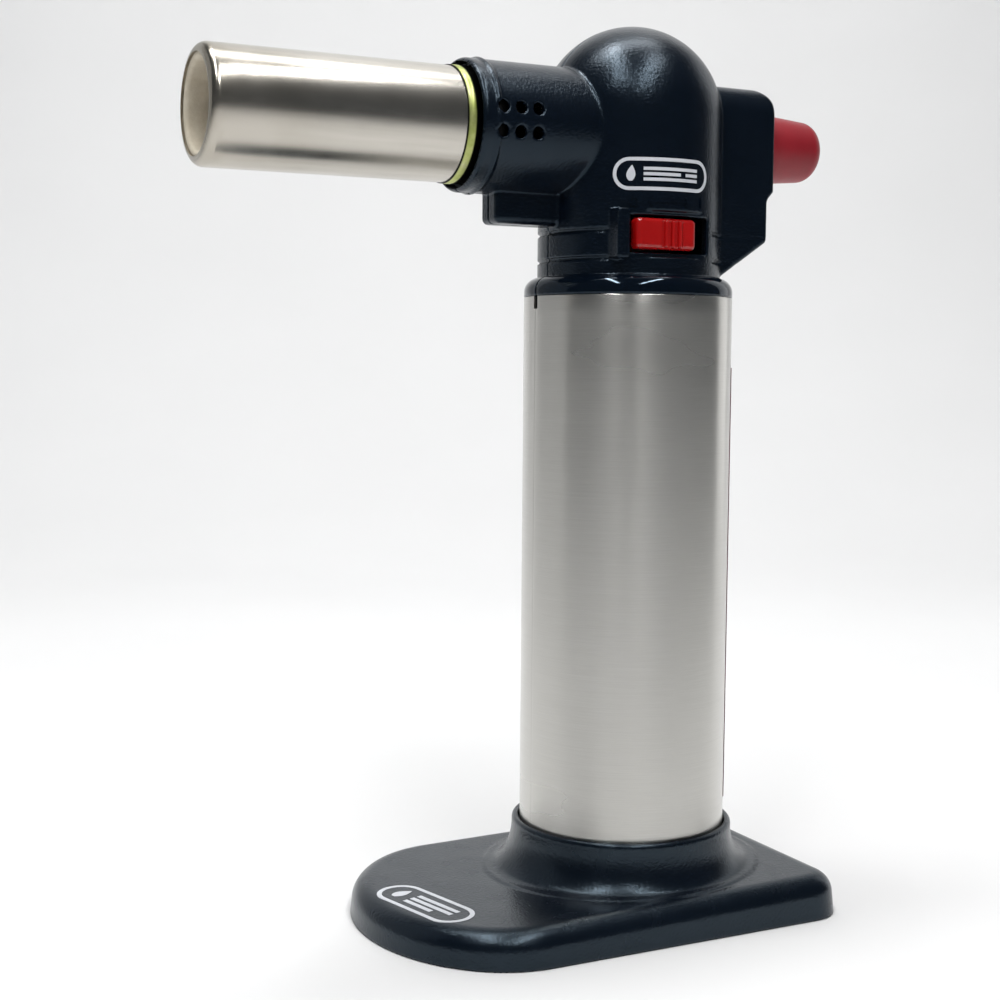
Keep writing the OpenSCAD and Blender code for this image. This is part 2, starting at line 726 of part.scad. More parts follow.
module head_shell_right() color([0.12, 0.13, 0.15]) {
    head_half(1);
    // Tab that drops into the sleeve's notch
    block([split, -tank_r, sleeve_top - 2.3], [0.6, -tank_r + sleeve_wall + 0.1, sleeve_top + 0.5]);
}

module head_shell_left() color([0.12, 0.13, 0.15]) head_half(-1);

module head_screws() color([0.5, 0.5, 0.52])
    for (q = SCREWS) difference() {
        union() {
            along_x(screw_r, q[2] - 0.1, q[3], q[0], q[1]);
            along_x(screw_head_r, q[2] - 1.6, q[2], q[0], q[1]);
        }
        block([q[2] - 3, q[0] - 0.3, q[1] - 1.5], [q[2] - 0.7, q[0] + 0.3, q[1] + 1.5]);
        block([q[2] - 3, q[0] - 1.5, q[1] - 0.3], [q[2] - 0.7, q[0] + 1.5, q[1] + 0.3]);
    }

base_shell();
base_feet();
tank_sleeve();
tank_label();
fuel_tank();
tank_cap();
tank_gasket();
tank_foot();
fill_valve_body();
fill_valve_stem();
fill_valve_spring();
fill_valve_seal();
dip_tube();
valve_body();
valve_gasket();
valve_stem();
valve_spring();
flame_dial();
rocker();
rocker_pin();
gas_hose();
jet_nozzle();
mixer_tube();
burner_adapter();
burner_tube();
ceramic_liner();
flame_holder();
electrode();
electrode_insulator();
ignition_lead();
piezo_body();
piezo_plunger();
piezo_spring();
ignition_button();
lock_slide();
lock_plate();
head_shell_right();
head_shell_left();
head_screws();
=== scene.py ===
"""Butane hand torch on its lift-off foot: the looks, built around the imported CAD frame.

Shapes are worked out in millimetres and turned into metres when a mesh is made. The tank axis is the
Z axis, the nozzle points to -Y and the lock slide is on the +X side.
"""

import json
import math

import bmesh
import bpy
import numpy as np
from mathutils import Matrix, Vector


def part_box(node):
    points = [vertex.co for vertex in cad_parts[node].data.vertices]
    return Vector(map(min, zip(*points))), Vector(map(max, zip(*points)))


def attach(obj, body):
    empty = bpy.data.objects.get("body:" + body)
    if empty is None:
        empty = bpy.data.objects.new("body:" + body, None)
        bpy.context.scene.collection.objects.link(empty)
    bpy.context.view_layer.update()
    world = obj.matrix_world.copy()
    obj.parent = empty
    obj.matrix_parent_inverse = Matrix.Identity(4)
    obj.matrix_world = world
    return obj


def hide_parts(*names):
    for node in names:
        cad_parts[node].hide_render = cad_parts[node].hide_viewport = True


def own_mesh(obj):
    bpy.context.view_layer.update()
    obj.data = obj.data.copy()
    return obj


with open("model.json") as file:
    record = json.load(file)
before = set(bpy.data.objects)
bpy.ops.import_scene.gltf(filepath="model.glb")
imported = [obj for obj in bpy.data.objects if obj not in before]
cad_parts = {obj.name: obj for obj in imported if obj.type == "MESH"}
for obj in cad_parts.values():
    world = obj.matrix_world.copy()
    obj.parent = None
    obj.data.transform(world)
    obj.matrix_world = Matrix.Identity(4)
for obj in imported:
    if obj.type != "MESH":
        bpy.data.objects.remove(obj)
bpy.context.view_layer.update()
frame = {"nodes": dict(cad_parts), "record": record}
NODES = frame["nodes"]
MM = 0.001
FAR = 500.0


def cad_box(node):
    """Lowest and highest corner of a CAD node, in millimetres."""
    low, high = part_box(node)
    return np.array(low) / MM, np.array(high) / MM


# ---- sizes in millimetres, from the frame where it has them ----
SLEEVE_LOW, SLEEVE_HIGH = cad_box("tank_sleeve")
TUBE_LOW, TUBE_HIGH = cad_box("burner_tube")
SLIDE_LOW, SLIDE_HIGH = cad_box("lock_slide")
BUTTON_LOW, BUTTON_HIGH = cad_box("ignition_button")
SHELL_LOW, SHELL_HIGH = cad_box("head_shell_left")
LINER_LOW, LINER_HIGH = cad_box("ceramic_liner")
DIAL_LOW, DIAL_HIGH = cad_box("flame_dial")
PIN_LOW, PIN_HIGH = cad_box("rocker_pin")
FOOT_LOW, FOOT_HIGH = cad_box("base_shell")
LABEL_LOW, LABEL_HIGH = cad_box("tank_label")

TANK_R = SLEEVE_HIGH[0]
SLEEVE_TOP = SLEEVE_HIGH[2]
AXIS_Z = (TUBE_LOW[2] + TUBE_HIGH[2]) / 2
TUBE_R = (TUBE_HIGH[2] - TUBE_LOW[2]) / 2
TUBE_BACK = TUBE_HIGH[1]
TUBE_MOUTH = TUBE_LOW[1]
HEAD_R = 19.2
DOME_Z = SHELL_HIGH[2] - HEAD_R
COLLAR_Z = SLEEVE_TOP + 4.1
RING_ROUND = 3.0
WALL = 2.0
HOUSING_R = 13.2
HOUSING_BORE = 12.2
HOUSING_FRONT = SHELL_LOW[1]
MOUTH_R = 12.4
BLOCK_HALF = 3.6
BLOCK_FRONT = -33.0
BLOCK_BOTTOM = SLEEVE_TOP + 14.1
BOX_HALF = 10.0
BOX_BACK = SHELL_HIGH[1]
BOX_LOW_BACK = BOX_BACK - 1.6
BOX_TOP = SLEEVE_TOP + 45.3
BOX_FOOT = (16.6, COLLAR_Z + 0.3)
BOX_KNEE = (BOX_LOW_BACK, SLEEVE_TOP + 12.4)
BOX_STEP = ((BOX_LOW_BACK, SLEEVE_TOP + 21.2), (BOX_BACK, SLEEVE_TOP + 23.0))
BUTTON_R = 7.4
BUTTON_START = 24.6
BUTTON_BORE = 5.5
HOLES_Y = (-36, -32.2, -28.4)
HOLES_Z = (AXIS_Z - 2.35, AXIS_Z + 2.35)
HOLE_R = 1.22
GROOVES = (SLEEVE_TOP + 7.3, SLEEVE_TOP + 12.9)
SLOT_LOW = (-10.0, SLEEVE_TOP + 8.4)
SLOT_HIGH = (8.2, SLEEVE_TOP + 15.8)
FLAT_X = 18.0
PIVOT = ((PIN_LOW[1] + PIN_HIGH[1]) / 2, (PIN_LOW[2] + PIN_HIGH[2]) / 2)
PIN_R = (PIN_HIGH[2] - PIN_LOW[2]) / 2
BUTTON_LEG = PIVOT[1] + 14.0
DIAL_Z = (DIAL_LOW[2] + DIAL_HIGH[2]) / 2
LEVER_SWING = math.radians(38)
LEVER_ROOM = 1.9
# Screws: y, z, x of the head's seat, x where the thread ends
SCREWS = ((-29.5, BLOCK_BOTTOM + 3.7, -1.8, 2.4), (22.0, SLEEVE_TOP + 16.4, -8.0, 6.0),
          (16.5, AXIS_Z + 7.7, -8.0, 6.0), (-8.0, DOME_Z + 11.4, -10.2, 6.0))
BOSS_R = 2.7
SCREW_BORE = 1.12
SCREW_SEAT_R = 2.4
LEAD_Z = AXIS_Z + 6.5
LEAD_BORE = 1.1
SPLIT = 0.05
HEAD_STEP = 0.34


# ---- solids as distance fields: negative inside ----
def meet(a, b, r=0.0):
    """Intersection of two fields, with the edge rounded to radius r."""
    if r == 0:
        return np.maximum(a, b)
    return (np.minimum(np.maximum(a + r, b + r), 0)
            + np.hypot(np.maximum(a + r, 0), np.maximum(b + r, 0)) - r)


def join(a, b, r=0.0):
    """Union of two fields, with a fillet of radius r."""
    return -meet(-a, -b, r)


def cut(a, b, r=0.0):
    """Field a without field b, with the edge rounded to radius r."""
    return meet(a, -b, r)


def slab(v, low, high):
    return np.abs(v - (low + high) / 2) - (high - low) / 2


def brick(x, y, z, low, high, r):
    """Box from low to high with all edges rounded to radius r."""
    q = [slab(v, a, b) + r for v, a, b in zip((x, y, z), low, high)]
    inner = np.minimum(np.maximum(np.maximum(q[0], q[1]), q[2]), 0)
    return inner + np.sqrt(sum(np.maximum(v, 0) ** 2 for v in q)) - r


def half_plane(u, v, start, end):
    """Distance to the left of the line from start to end, in a plane with coordinates u and v."""
    du, dv = end[0] - start[0], end[1] - start[1]
    return ((v - start[1]) * du - (u - start[0]) * dv) / math.hypot(du, dv)


# ---- meshes ----
def new_object(name, points, faces, smooth=True):
    """Object of a mesh given in millimetres."""
    mesh = bpy.data.meshes.new(name)
    mesh.from_pydata([[c * MM for c in p] for p in np.asarray(points, float).tolist()], [], faces)
    mesh.validate()
    mesh.polygons.foreach_set("use_smooth", [smooth] * len(mesh.polygons))
    mesh.update()
    obj = bpy.data.objects.new(name, mesh)
    bpy.context.scene.collection.objects.link(obj)
    return obj


def surface_net(name, field, low, high, step):
    """Mesh of a field's zero level: one point in each grid cell that the surface crosses, drawn onto it."""
    axes = [np.arange(a - step, b + 2 * step, step) for a, b in zip(low, high)]
    value = field(*np.meshgrid(*axes, indexing="ij", sparse=True))
    inside = value < 0
    corners = [(i, j, k) for i in (0, 1) for j in (0, 1) for k in (0, 1)]
    shape = [n - 1 for n in value.shape]
    count = sum(inside[i:i + shape[0], j:j + shape[1], k:k + shape[2]].astype(np.int8)
                for i, j, k in corners)
    cells = np.argwhere((count > 0) & (count < 8))
    corner_value = {c: value[tuple((cells + c).T)] for c in corners}
    total = np.zeros((len(cells), 3))
    crossings = np.zeros(len(cells))
    for a in corners:
        for axis in range(3):
            if a[axis]:
                continue
            b = tuple(a[n] + (n == axis) for n in range(3))
            va, vb = corner_value[a], corner_value[b]
            crossed = (va < 0) != (vb < 0)
            t = np.where(crossed, va / np.where(crossed, va - vb, 1), 0)
            point = np.tile(np.array(a, float), (len(cells), 1))
            point[:, axis] += t
            total += point * crossed[:, None]
            crossings += crossed
    origin = np.array([axis[0] for axis in axes])
    points = origin + step * (cells + total / crossings[:, None])
    start = points.copy()
    for _ in range(4):
        x, y, z = points.T
        here = field(x, y, z)
        h = 0.02
        slope = np.stack([field(x + h, y, z) - field(x - h, y, z), field(x, y + h, z) - field(x, y - h, z),
                          field(x, y, z + h) - field(x, y, z - h)], 1) / (2 * h)
        steepness = np.maximum((slope ** 2).sum(1), 0.05)
        points -= 0.8 * slope * (here / steepness)[:, None]
        points = start + np.clip(points - start, -0.6 * step, 0.6 * step)
    index = np.full(shape, -1)
    index[tuple(cells.T)] = np.arange(len(cells))
    quads = []
    for axis in range(3):
        one, two = [n for n in range(3) if n != axis]
        first = [slice(1, -1)] * 3
        first[axis] = slice(0, -1)
        second = list(first)
        second[axis] = slice(1, None)
        a, b = inside[tuple(first)], inside[tuple(second)]
        edges = np.argwhere(a != b)
        leaving = a[tuple(edges.T)]
        edges[:, one] += 1
        edges[:, two] += 1
        ring = []
        for d_one, d_two in ((-1, -1), (0, -1), (0, 0), (-1, 0)):
            cell = edges.copy()
            cell[:, one] += d_one
            cell[:, two] += d_two
            ring.append(index[tuple(cell.T)])
        quad = np.stack(ring, 1)
        flip = leaving if axis != 1 else ~leaving
        quad[~flip] = quad[~flip][:, ::-1]
        quads.append(quad)
    return new_object(name, points, np.concatenate(quads).tolist())


def lathe(name, profile, angles, place):
    """Closed ring of revolution: profile holds (radius, height) points round the section."""
    points, faces = [], []
    n, m = len(angles), len(profile)
    for a in angles:
        for r, h in profile:
            points.append(place(r, a, h))
    for i in range(n):
        for k in range(m):
            j, l = (i + 1) % n, (k + 1) % m
            faces.append((i * m + k, i * m + l, j * m + l, j * m + k))
    return new_object(name, points, faces)


def arc(centre_r, centre_h, radius, start, end, steps):
    """Points of an arc in a profile, angles in degrees."""
    return [(centre_r + radius * math.cos(math.radians(start + (end - start) * i / steps)),
             centre_h + radius * math.sin(math.radians(start + (end - start) * i / steps)))
            for i in range(steps + 1)]


def round_turn(steps):
    return [2 * math.pi * i / steps for i in range(steps)]


def about_z(r, a, h):
    return (r * math.cos(a), r * math.sin(a), h)


def about_barrel(r, a, h):
    return (r * math.cos(a), h, AXIS_Z + r * math.sin(a))


def finish_piece(obj, body, slot, finish, *replaced):
    """Rides on its body, takes its material and stands for its CAD nodes."""
    obj.data.materials.clear()
    obj.data.materials.append(finish)
    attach(obj, body)
    if replaced:
        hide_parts(*replaced)
    return obj


# ---- materials ----
class Graph:
    """A material's nodes, with short calls to add and link them."""

    def __init__(self, name):
        self.material = bpy.data.materials.new(name)
        self.material.use_nodes = True
        self.nodes = self.material.node_tree.nodes
        self.links = self.material.node_tree.links
        self.shader = self.nodes["Principled BSDF"]
        self.coords = self.nodes.new("ShaderNodeTexCoord").outputs["Object"]

    def link(self, out, socket):
        self.links.new(out, socket)

    def noise(self, scale, detail=3.0, rough=0.55, stretch=(1, 1, 1)):
        """Noise with `scale` cells per metre, stretched by the given factors."""
        mapping = self.nodes.new("ShaderNodeMapping")
        mapping.inputs["Scale"].default_value = stretch
        self.link(self.coords, mapping.inputs["Vector"])
        noise = self.nodes.new("ShaderNodeTexNoise")
        noise.inputs["Scale"].default_value = scale
        noise.inputs["Detail"].default_value = detail
        noise.inputs["Roughness"].default_value = rough
        self.link(mapping.outputs[0], noise.inputs["Vector"])
        return noise.outputs["Fac"]

    def ramp(self, fac, stops, interpolation="LINEAR"):
        """Colour ramp: stops are (position, colour) pairs."""
        ramp = self.nodes.new("ShaderNodeValToRGB")
        ramp.color_ramp.interpolation = interpolation
        elements = ramp.color_ramp.elements
        while len(elements) < len(stops):
            elements.new(0.5)
        for element, (position, colour) in zip(elements, stops):
            element.position = position
            element.color = (*colour, 1)
        self.link(fac, ramp.inputs["Fac"])
        return ramp.outputs["Color"]

    def spread(self, fac, low, high, start=0.3, end=0.7):
        """Number that runs from low to high as fac runs from start to end."""
        node = self.nodes.new("ShaderNodeMapRange")
        for socket, value in zip(("From Min", "From Max", "To Min", "To Max"), (start, end, low, high)):
            node.inputs[socket].default_value = value
        self.link(fac, node.inputs["Value"])
        return node.outputs["Result"]

    def mix(self, fac, one, two):
        """Colour mix of two colour outputs."""
        node = self.nodes.new("ShaderNodeMix")
        node.data_type = "RGBA"
        for socket, value in ((0, fac), (6, one), (7, two)):
            self.link(value, node.inputs[socket])
        return node.outputs[2]

    def height(self, axis="Z"):
        """One coordinate of the object, in metres."""
        split = self.nodes.new("ShaderNodeSeparateXYZ")
        self.link(self.coords, split.inputs[0])
        return split.outputs[axis]

    def bump(self, *layers):
        """Bump from (height output, strength, distance in metres) layers, one on another."""
        last = None
        for out, strength, distance in layers:
            node = self.nodes.new("ShaderNodeBump")
            node.inputs["Strength"].default_value = strength
            node.inputs["Distance"].default_value = distance
            self.link(out, node.inputs["Height"])
            if last is not None:
                self.link(last, node.inputs["Normal"])
            last = node.outputs["Normal"]
        self.link(last, self.shader.inputs["Normal"])

    def set(self, **values):
        for name, value in values.items():
            self.shader.inputs[name.replace("_", " ")].default_value = value


def grey(value):
    return (value, value, value)


BLUE_BLACK = ((0.0012, 0.0032, 0.0072), (0.0022, 0.0046, 0.0096))


def moulded(name, dark, light, rough, grain=0.25, grain_scale=2600, coat=0.0, tint=(1, 1, 1)):
    """Injection-moulded plastic with a fine spark-eroded grain."""
    g = Graph(name)
    g.link(g.ramp(g.noise(90, 4), [(0.35, dark), (0.65, light)]), g.shader.inputs["Base Color"])
    fine = g.noise(grain_scale, 2)
    g.link(g.spread(g.noise(160, 5), rough[0], rough[1]), g.shader.inputs["Roughness"])
    g.bump((fine, grain, 0.00012), (g.noise(25, 2), 0.08, 0.001))
    g.set(Coat_Weight=coat, Coat_Roughness=0.15, Specular_Tint=(*tint, 1))
    return g.material


def metal(name, dark, light, rough, stretch=(1, 1, 1), scale=400, bump=0.1):
    """Bare metal with tool marks stretched along one direction."""
    g = Graph(name)
    marks = g.noise(scale, 5, 0.6, stretch)
    g.link(g.ramp(marks, [(0.3, dark), (0.7, light)]), g.shader.inputs["Base Color"])
    g.link(g.spread(g.noise(180, 4), rough[0], rough[1]), g.shader.inputs["Roughness"])
    g.bump((marks, bump, 0.0001))
    g.set(Metallic=1.0)
    return g.material


def shell_plastic():
    """Blue-black grained plastic; the shoulder ring and everything below it is glossy."""
    g = Graph("shell_satin")
    g.link(g.ramp(g.noise(60, 4), [(0.3, BLUE_BLACK[0]), (0.7, BLUE_BLACK[1])]),
           g.shader.inputs["Base Color"])
    satin = g.spread(g.height(), 0.0, 1.0, (COLLAR_Z - 0.4) * MM, (COLLAR_Z + 0.1) * MM)
    wear = g.spread(g.noise(140, 5), 0.21, 0.27)
    gloss = g.nodes.new("ShaderNodeMix")
    gloss.inputs[2].default_value = 0.07
    g.link(satin, gloss.inputs[0])
    g.link(wear, gloss.inputs[3])
    g.link(gloss.outputs[0], g.shader.inputs["Roughness"])
    grain = g.nodes.new("ShaderNodeMath")
    grain.operation = "MULTIPLY"
    g.link(g.noise(1700, 2, 0.6), grain.inputs[0])
    g.link(satin, grain.inputs[1])
    g.bump((grain.outputs[0], 0.5, 0.00016), (g.noise(30, 2), 0.03, 0.001))
    g.set(Specular_Tint=(0.62, 0.82, 1.0, 1), Specular_IOR_Level=0.4)
    return g.material


def brushed_sleeve():
    """Stainless sheet brushed round the tank, slightly uneven along its length."""
    g = Graph("sleeve_brushed")
    brush = g.noise(90, 6, 0.75, (1, 1, 110))
    broad = g.noise(14, 3, 0.5, (1, 1, 4))
    g.link(g.ramp(brush, [(0.25, (0.53, 0.52, 0.49)), (0.75, (0.63, 0.62, 0.59))]),
           g.shader.inputs["Base Color"])
    g.link(g.spread(broad, 0.24, 0.34, 0.0, 1.0), g.shader.inputs["Roughness"])
    rolled = g.noise(40, 0, 0.5, (1, 1, 0.15))
    g.bump((brush, 0.10, 0.00004), (rolled, 0.04, 0.001))
    tangent = g.nodes.new("ShaderNodeTangent")
    tangent.direction_type = "RADIAL"
    tangent.axis = "Z"
    g.link(tangent.outputs[0], g.shader.inputs["Tangent"])
    g.set(Metallic=1.0, Anisotropic=0.8, Anisotropic_Rotation=0.25)
    return g.material


def tube_steel():
    """Semi-polished burner tube, drawn lengthways, slightly smoked towards the mouth."""
    g = Graph("tube_polished")
    drawn = g.noise(220, 6, 0.65, (1, 0.05, 1))
    smudge = g.noise(60, 4, 0.6)
    clean = g.ramp(drawn, [(0.3, (0.45, 0.425, 0.375)), (0.7, (0.60, 0.57, 0.52))])
    heated = g.ramp(smudge, [(0.35, (0.38, 0.35, 0.29)), (0.65, (0.52, 0.485, 0.43))])
    near_mouth = g.spread(g.height("Y"), 1.0, 0.0, TUBE_MOUTH * MM, (TUBE_MOUTH + 26) * MM)
    g.link(g.mix(near_mouth, clean, heated), g.shader.inputs["Base Color"])
    g.link(g.spread(smudge, 0.16, 0.28, 0.0, 1.0), g.shader.inputs["Roughness"])
    g.bump((drawn, 0.16, 0.0001), (g.noise(45, 3), 0.05, 0.0006))
    tangent = g.nodes.new("ShaderNodeTangent")
    tangent.direction_type = "RADIAL"
    tangent.axis = "Y"
    g.link(tangent.outputs[0], g.shader.inputs["Tangent"])
    g.set(Metallic=1.0, Anisotropic=0.4)
    return g.material


def zinc_chromate():
    """Yellow passivated zinc at the front flange, with painted shade: near black inside the housing and where
    it meets the tube.
    """
    g = Graph("zinc_yellow")
    stain = g.noise(240, 5, 0.6)
    clean = g.ramp(stain, [(0.3, (0.28, 0.34, 0.07)), (0.5, (0.44, 0.48, 0.17)), (0.75, (0.55, 0.54, 0.33))])
    # Painted shade: a near-black colour for the zinc inside the housing and at its joint with the tube
    painted_shade = g.ramp(stain, [(0.3, (0.001, 0.001, 0.001)), (0.7, (0.003, 0.003, 0.003))])
    inside = g.spread(g.height("Y"), 0.0, 1.0, (HOUSING_FRONT - 0.85) * MM, (HOUSING_FRONT - 0.6) * MM)
    at_tube = g.spread(g.height("Y"), 1.0, 0.0, (TUBE_BACK + 0.15) * MM, (TUBE_BACK + 0.4) * MM)
    # The painted shade covers the zinc behind the housing's front and next to the tube's back end
    g.link(g.mix(at_tube, g.mix(inside, clean, painted_shade), painted_shade), g.shader.inputs["Base Color"])
    g.link(g.spread(g.noise(400, 4), 0.3, 0.45), g.shader.inputs["Roughness"])
    g.bump((g.noise(900, 3), 0.1, 0.0001))
    g.set(Metallic=0.6, Specular_IOR_Level=0.2)
    return g.material


def ceramic():
    """Fired cream ceramic with fine pores, browned towards the flame holder."""
    g = Graph("ceramic_cream")
    clay = g.ramp(g.noise(300, 6, 0.7), [(0.3, (0.58, 0.51, 0.39)), (0.7, (0.72, 0.66, 0.54))])
    burnt = g.ramp(g.noise(200, 5), [(0.3, (0.16, 0.12, 0.09)), (0.7, (0.33, 0.26, 0.18))])
    inside = g.spread(g.height("Y"), 0.0, 1.0, (TUBE_MOUTH + 4) * MM, (TUBE_MOUTH + 16) * MM)
    g.link(g.mix(inside, clay, burnt), g.shader.inputs["Base Color"])
    g.link(g.spread(g.noise(500, 4), 0.65, 0.85), g.shader.inputs["Roughness"])
    g.bump((g.noise(1400, 4, 0.7), 0.35, 0.0002))
    return g.material


def label_film():
    """Dark red polyester label with a faint orange-peel surface."""
    g = Graph("label_red")
    g.link(g.ramp(g.noise(120, 4), [(0.3, (0.12, 0.006, 0.018)), (0.7, (0.17, 0.012, 0.028))]),
           g.shader.inputs["Base Color"])
    g.link(g.spread(g.noise(220, 4), 0.36, 0.44), g.shader.inputs["Roughness"])
    g.bump((g.noise(700, 2), 0.08, 0.0001))
    g.set(Coat_Weight=0.15, Coat_Roughness=0.3)
    return g.material


MATERIALS = {
    "base_plastic": moulded("base_satin", *BLUE_BLACK, (0.22, 0.29), 0.5, 1700, tint=(0.64, 0.84, 1.0)),
    "shell_plastic": shell_plastic(),
    "feet_rubber": moulded("rubber_grey", (0.02, 0.02, 0.021), (0.035, 0.035, 0.036), (0.7, 0.85), 0.3, 1200),
    "sleeve_steel": brushed_sleeve(),
    "tube_steel": tube_steel(),
    "label_film": label_film(),
    "tank_nylon": moulded("nylon_natural", (0.62, 0.57, 0.44), (0.72, 0.68, 0.55), (0.4, 0.55), 0.1, 900),
    "seal_rubber": moulded("nitrile_black", grey(0.008), grey(0.016), (0.5, 0.65), 0.15, 900),
    "valve_brass": metal("brass_turned", (0.66, 0.44, 0.16), (0.80, 0.60, 0.28), (0.2, 0.34), (1, 1, 8)),
    "spring_steel": metal("spring_wire", (0.42, 0.42, 0.44), (0.62, 0.62, 0.64), (0.22, 0.36), (1, 1, 1)),
    "inner_plastic": moulded("acetal_white", (0.66, 0.65, 0.60), (0.76, 0.75, 0.70), (0.35, 0.5), 0.1, 800),
    "zinc_yellow": zinc_chromate(),
    "ceramic_cream": ceramic(),
    "lead_red": moulded("lead_insulation", (0.22, 0.01, 0.01), (0.30, 0.02, 0.02), (0.35, 0.5), 0.1, 900),
    "hose_black": moulded("hose_rubber", grey(0.012), grey(0.022), (0.5, 0.65), 0.2, 900),
    "igniter_black": moulded("igniter_case", (0.010, 0.010, 0.011), (0.018, 0.018, 0.019), (0.35, 0.5),
                             0.1, 900),
    "button_red": moulded("button_raspberry", (0.23, 0.006, 0.013), (0.28, 0.009, 0.018), (0.40, 0.50),
                          0.12, 1500),
    "slide_red": moulded("slide_scarlet", (0.36, 0.003, 0.003), (0.42, 0.005, 0.005), (0.16, 0.24),
                         0.05, 900, coat=0.4),
    "screw_steel": metal("screw_zinc", (0.40, 0.40, 0.41), (0.58, 0.58, 0.60), (0.24, 0.4), (1, 1, 1), 900),
    "print_pale": moulded("print_pale", (0.60, 0.62, 0.66), (0.68, 0.70, 0.74), (0.4, 0.5), 0.1, 1200),
}


def dress_cad_nodes():
    """Every CAD node keeps its mesh, with welded and smoothed facets, and takes its slot's material."""
    slot_of = {part["node"]: part["material_slot"] for part in frame["record"]["subparts"]}
    for name, obj in NODES.items():
        obj.data.materials.clear()
        obj.data.materials.append(MATERIALS[slot_of[name]])
        weld = obj.modifiers.new("Weld", "WELD")
        weld.merge_threshold = 0.000005
        obj.data.polygons.foreach_set("use_smooth", [True] * len(obj.data.polygons))


# ---- head ----
def igniter_box(x, y, z):
    """Box behind the dome: slanted underside, small step at the back, round top edges."""
    side = meet(np.abs(x) - BOX_HALF, z - BOX_TOP, 6.5)
    upper = np.maximum(y - BOX_BACK, -half_plane(y, z, *BOX_STEP))
    lower = meet(meet(y - BOX_LOW_BACK, -half_plane(y, z, BOX_FOOT, BOX_KNEE), 0.6), COLLAR_Z - z)
    profile = meet(join(upper, lower, 0.3), z - BOX_TOP, 4.2)
    return meet(meet(side, profile, 0.9), -y)


def head_body(x, y, z):
    """Outside of the head, without its small features."""
    dome = np.sqrt(x ** 2 + y ** 2 + np.maximum(z - DOME_Z, 0) ** 2) - HEAD_R
    bore = np.hypot(x, z - AXIS_Z)
    barrel = meet(meet(bore - HOUSING_R, HOUSING_FRONT - y, 1.3), y)
    block = meet(meet(np.abs(x) - BLOCK_HALF, BLOCK_FRONT - y, 1.0), BLOCK_BOTTOM - z, 1.3)
    block = meet(block, meet(z - AXIS_Z, y + 6.0))
    front = join(barrel, block, 0.3)
    return join(join(dome, front, 0.45), igniter_box(x, y, z), 0.5)


def head_outside(x, y, z):
    """Head with its shoulder ring, slide flat, grooves and rim."""
    round_r = np.hypot(x, y)
    body = head_body(x, y, z)
    bore = np.hypot(x, z - AXIS_Z)
    rim = np.hypot(bore - HOUSING_R, y - HOUSING_FRONT - 3.6) - 0.3
    body = join(body, rim, 0.5)
    pad = brick(x, y, z, (8, SLOT_LOW[0] - 3, SLOT_LOW[1] - 1.2),
                (FLAT_X, SLOT_HIGH[0] + 1, SLOT_HIGH[1] + 1.2), 0.3)
    ramp = -half_plane(x, y, (15.2, SLOT_LOW[0] - 1.7), (FLAT_X - 0.2, SLOT_LOW[0] - 0.1))
    pad = meet(pad, -ramp, 0.3)
    for level in GROOVES:
        groove = meet(slab(z, level - 0.4, level + 0.4), HEAD_R - 0.45 - round_r)
        gap = brick(x, y, z, (5, SLOT_LOW[0] - 2, level - 5), (FAR, SLOT_HIGH[0] + 2, level + 5), 0)
        groove = cut(groove, gap)
        body = cut(body, cut(groove, igniter_box(x, y, z)), 0.1)
    body = join(body, pad, 0.4)
    recess = brick(x, y, z, (FLAT_X, SLOT_LOW[0] - 3, SLOT_LOW[1] - 0.9),
                   (40, SLOT_HIGH[0] + 1, SLOT_HIGH[1] + 0.9), 0)
    body = cut(body, recess, 0.25)
    ring = meet(round_r - TANK_R, z - COLLAR_Z, RING_ROUND)
    body = join(body, ring)
    return meet(body, SLEEVE_TOP - z, 0.3)


def head_cavity(x, y, z):
    """Room inside the shells, less the ribs, cradles, webs and bosses that stand in it."""
    bore = np.hypot(x, z - AXIS_Z)
    room = meet(head_body(x, y, z) + WALL, SLEEVE_TOP + 1.5 - z)
    room = join(room, meet(bore - HOUSING_BORE, slab(y, HOUSING_FRONT - 5, -12)))
    room = join(room, meet(bore - MOUTH_R, slab(y, HOUSING_FRONT - 5, HOUSING_FRONT + 2.4)))
    room = join(room, meet(bore - BUTTON_R - 0.2, slab(y, 20, 60)))
    room = join(room, meet(np.hypot(x, y) - 9.1, slab(z, SLEEVE_TOP - 5, SLEEVE_TOP + 5)))
    # Ribs that trap the burner adapter, then the cradles of the mixer tube and the igniter
    for start, end, inner in ((-38.1, -37.4, 11.5), (-34.4, -33, 10.2)):
        room = cut(room, meet(slab(y, start, end), inner - bore))
    cradle = meet(slab(y, -27.4, -26.2), 4.03 - bore)
    room = cut(room, cut(cradle, np.hypot(x, z - LEAD_Z) - LEAD_BORE))
    for start in (6, 14):
        cradle = meet(meet(slab(y, start, start + 1.6), slab(z, AXIS_Z - 5, AXIS_Z + 4.6)), 4.83 - bore)
        room = cut(room, cut(cradle, meet(np.abs(x) - 2.4, z - AXIS_Z + 2)))
    # Webs that hold the rocker's pin, then the screw bosses
    web = meet(meet(slab(np.abs(x), 7, 9), slab(y, PIVOT[0] - 3, PIVOT[0] + 3)), PIVOT[1] - 3 - z)
    room = cut(room, cut(web, np.hypot(y - PIVOT[0], z - PIVOT[1]) - PIN_R - 0.02))
    for screw_y, screw_z, _, _ in SCREWS:
        room = cut(room, np.hypot(y - screw_y, z - screw_z) - BOSS_R)
    return room


